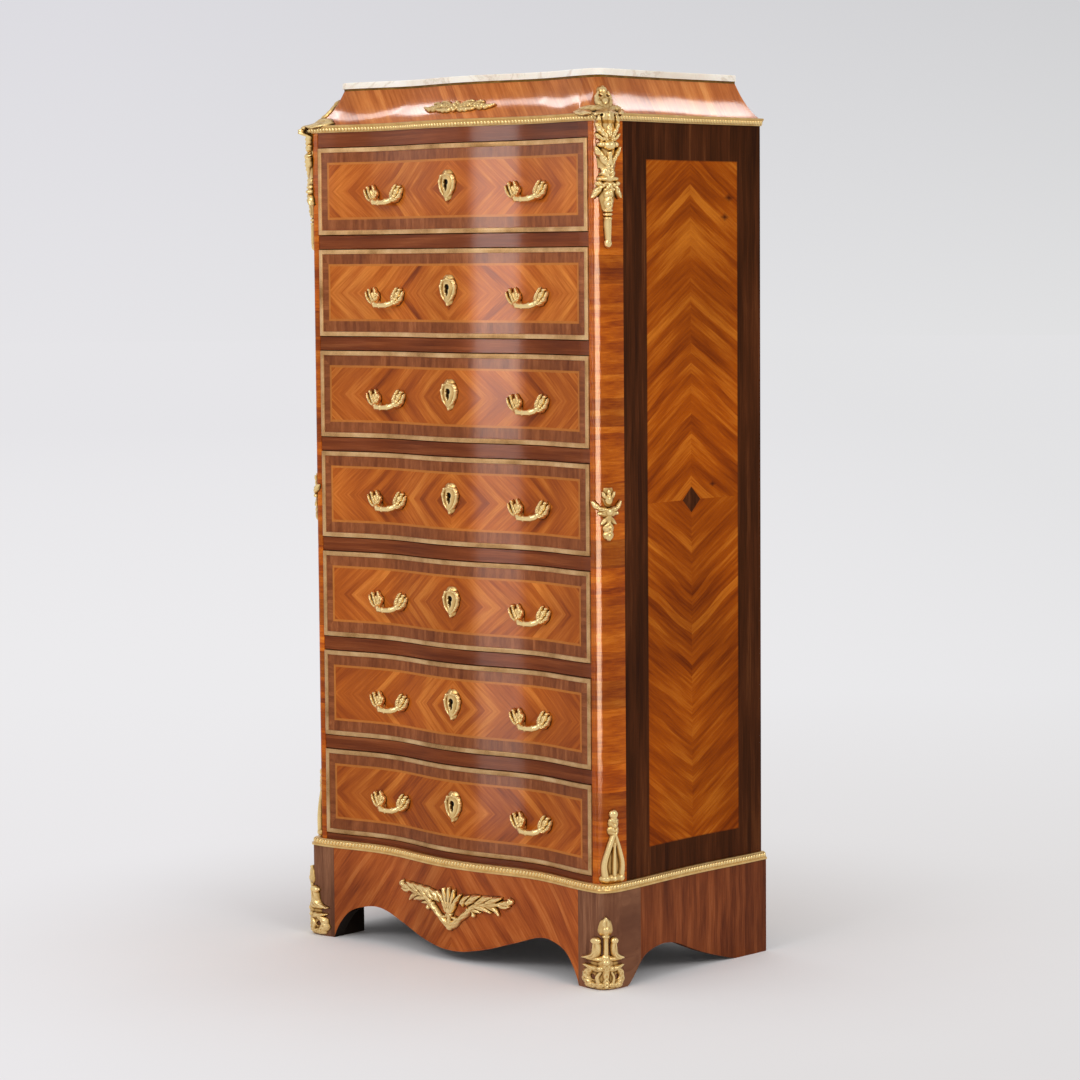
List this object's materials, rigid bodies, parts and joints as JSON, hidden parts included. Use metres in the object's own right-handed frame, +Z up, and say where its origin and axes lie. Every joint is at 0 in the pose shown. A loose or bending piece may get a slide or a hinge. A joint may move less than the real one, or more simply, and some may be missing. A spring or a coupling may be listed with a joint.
{
  "type": "chest of drawers",
  "caption": "Tall narrow chest of drawers with a serpentine veneered front, gilt metal mounts, a coved cornice and a marble top; each drawer slides and has a lock bolt",
  "frame": {"origin": "middle of the footprint, on the floor", "axes": "+X towards the right-hand side seen from the front, +Y towards the back, +Z up"},
  "size_m": [0.675, 0.394, 1.4],
  "materials": {
    "side_veneer": "tulipwood veneer in chevrons with a dark rosewood border, polished",
    "post_veneer": "cross-grained veneer, polished",
    "dark_veneer": "dark rosewood veneer, polished",
    "apron_veneer": "diagonal tulipwood veneer, polished",
    "plinth_veneer": "upright-grained veneer, polished",
    "cornice_veneer": "cross-grained veneer on a cove, polished",
    "drawer_veneer": "tulipwood chevrons, stringing and dark crossbanding, polished",
    "drawer_lining": "planed oak",
    "plain_wood": "planed softwood",
    "gilt": "cast and chased, gilt",
    "marble": "honed cream marble",
    "steel": "filed steel"
  },
  "bodies": {
    "carcass": {"side_panel_left": "side_veneer", "side_panel_right": "side_veneer", "corner_post_left": "post_veneer", "corner_post_right": "post_veneer", "back_panel": "plain_wood", "bottom_board": "plain_wood", "top_board": "plain_wood", "drawer_rails": "dark_veneer", "drawer_runners": "plain_wood", "plinth_front": "apron_veneer", "plinth_left": "plinth_veneer", "plinth_right": "plinth_veneer", "plinth_back": "plain_wood", "foot_left": "dark_veneer", "foot_right": "dark_veneer", "plinth_moulding": "gilt", "cornice_front": "cornice_veneer", "cornice_left": "cornice_veneer", "cornice_right": "cornice_veneer", "cornice_mouldings": "gilt", "marble_top": "marble", "corner_mounts": "gilt", "foot_mounts": "gilt", "apron_mount": "gilt", "cornice_mount": "gilt"},
    "drawer_1": {"drawer_1_front": "drawer_veneer", "drawer_1_box": "drawer_lining", "drawer_1_edging": "gilt", "drawer_1_handles_and_lock": "gilt"},
    "bolt_1": {"drawer_1_bolt": "steel"},
    "drawer_2": {"drawer_2_front": "drawer_veneer", "drawer_2_box": "drawer_lining", "drawer_2_edging": "gilt", "drawer_2_handles_and_lock": "gilt"},
    "bolt_2": {"drawer_2_bolt": "steel"},
    "drawer_3": {"drawer_3_front": "drawer_veneer", "drawer_3_box": "drawer_lining", "drawer_3_edging": "gilt", "drawer_3_handles_and_lock": "gilt"},
    "bolt_3": {"drawer_3_bolt": "steel"},
    "drawer_4": {"drawer_4_front": "drawer_veneer", "drawer_4_box": "drawer_lining", "drawer_4_edging": "gilt", "drawer_4_handles_and_lock": "gilt"},
    "bolt_4": {"drawer_4_bolt": "steel"},
    "drawer_5": {"drawer_5_front": "drawer_veneer", "drawer_5_box": "drawer_lining", "drawer_5_edging": "gilt", "drawer_5_handles_and_lock": "gilt"},
    "bolt_5": {"drawer_5_bolt": "steel"},
    "drawer_6": {"drawer_6_front": "drawer_veneer", "drawer_6_box": "drawer_lining", "drawer_6_edging": "gilt", "drawer_6_handles_and_lock": "gilt"},
    "bolt_6": {"drawer_6_bolt": "steel"},
    "drawer_7": {"drawer_7_front": "drawer_veneer", "drawer_7_box": "drawer_lining", "drawer_7_edging": "gilt", "drawer_7_handles_and_lock": "gilt"},
    "bolt_7": {"drawer_7_bolt": "steel"}
  },
  "joints": [
    {"name": "drawer_1_slide", "type": "slide", "parent": "carcass", "child": "drawer_1", "axis": [0, -1, 0], "range_m": [0, 0.25]},
    {"name": "bolt_1_throw", "type": "slide", "parent": "drawer_1", "child": "bolt_1", "axis": [0, 0, 1], "range_m": [0, 0.008]},
    {"name": "drawer_2_slide", "type": "slide", "parent": "carcass", "child": "drawer_2", "axis": [0, -1, 0], "range_m": [0, 0.25]},
    {"name": "bolt_2_throw", "type": "slide", "parent": "drawer_2", "child": "bolt_2", "axis": [0, 0, 1], "range_m": [0, 0.008]},
    {"name": "drawer_3_slide", "type": "slide", "parent": "carcass", "child": "drawer_3", "axis": [0, -1, 0], "range_m": [0, 0.25]},
    {"name": "bolt_3_throw", "type": "slide", "parent": "drawer_3", "child": "bolt_3", "axis": [0, 0, 1], "range_m": [0, 0.008]},
    {"name": "drawer_4_slide", "type": "slide", "parent": "carcass", "child": "drawer_4", "axis": [0, -1, 0], "range_m": [0, 0.25]},
    {"name": "bolt_4_throw", "type": "slide", "parent": "drawer_4", "child": "bolt_4", "axis": [0, 0, 1], "range_m": [0, 0.008]},
    {"name": "drawer_5_slide", "type": "slide", "parent": "carcass", "child": "drawer_5", "axis": [0, -1, 0], "range_m": [0, 0.25]},
    {"name": "bolt_5_throw", "type": "slide", "parent": "drawer_5", "child": "bolt_5", "axis": [0, 0, 1], "range_m": [0, 0.008]},
    {"name": "drawer_6_slide", "type": "slide", "parent": "carcass", "child": "drawer_6", "axis": [0, -1, 0], "range_m": [0, 0.25]},
    {"name": "bolt_6_throw", "type": "slide", "parent": "drawer_6", "child": "bolt_6", "axis": [0, 0, 1], "range_m": [0, 0.008]},
    {"name": "drawer_7_slide", "type": "slide", "parent": "carcass", "child": "drawer_7", "axis": [0, -1, 0], "range_m": [0, 0.25]},
    {"name": "bolt_7_throw", "type": "slide", "parent": "drawer_7", "child": "bolt_7", "axis": [0, 0, 1], "range_m": [0, 0.008]}
  ]
}
